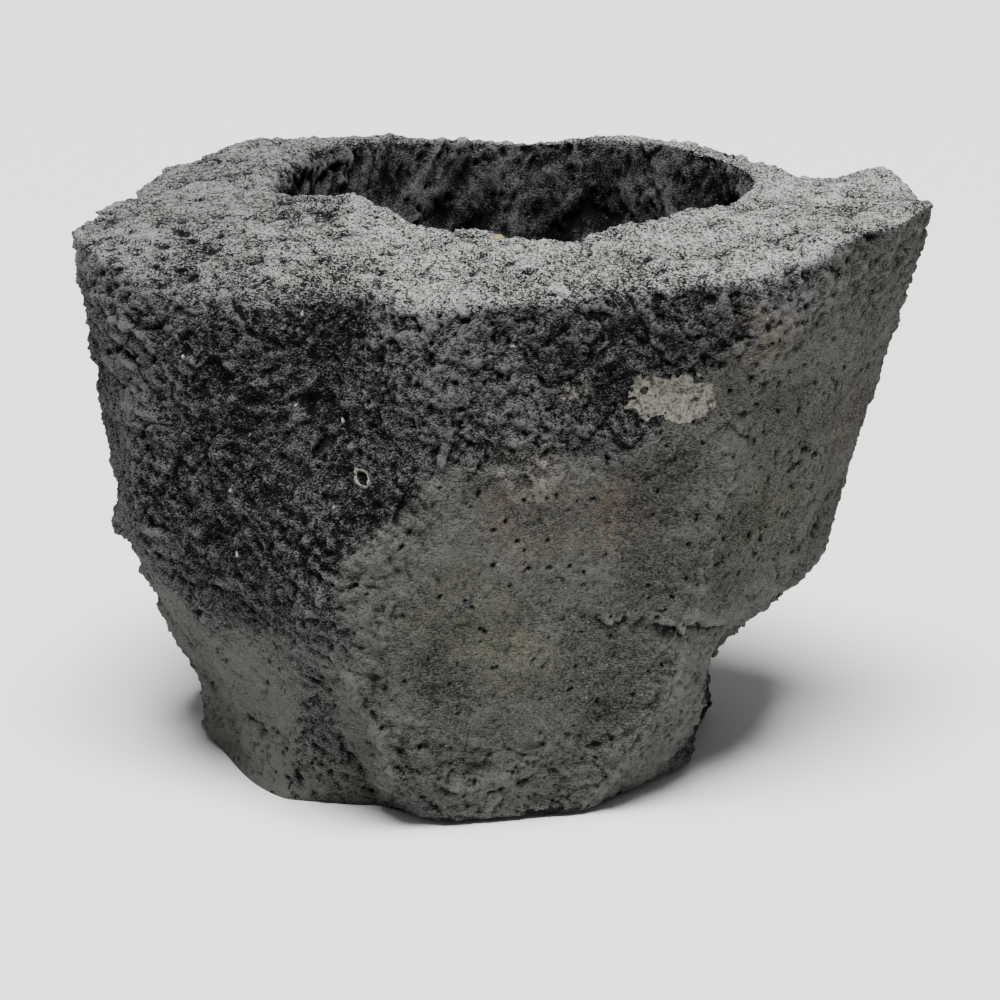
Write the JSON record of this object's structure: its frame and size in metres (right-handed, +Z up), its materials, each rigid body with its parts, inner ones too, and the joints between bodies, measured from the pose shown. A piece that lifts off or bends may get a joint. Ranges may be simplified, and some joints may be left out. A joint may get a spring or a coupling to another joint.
{
  "type": "molcajete mortar",
  "caption": "A heavy kitchen mortar hewn from dark porous basalt, with rough split sides, a dressed rim, a deep round basin and a narrower foot.",
  "frame": {"origin": "on the ground, under the middle of the block's outline", "axes": "+Z up, -Y towards the broad front face, +X to the right; the block is widest along X and lowest along Z"},
  "size_m": [0.3135, 0.249, 0.2133],
  "materials": {
    "basalt": "rough hewn, dry and matt, dark grey with pale specks and small pores",
    "pale_rock": "fine grained, matt, cream grey with dark specks",
    "green_mineral": "thin waxy crust, pale grey green",
    "feldspar": "small glassy cleavage faces, off white"
  },
  "bodies": {
    "root": {"stone_body": "basalt", "pale_clast": "pale_rock", "bubble_lining": "green_mineral", "feldspar_crystals": "feldspar"}
  },
  "joints": []
}
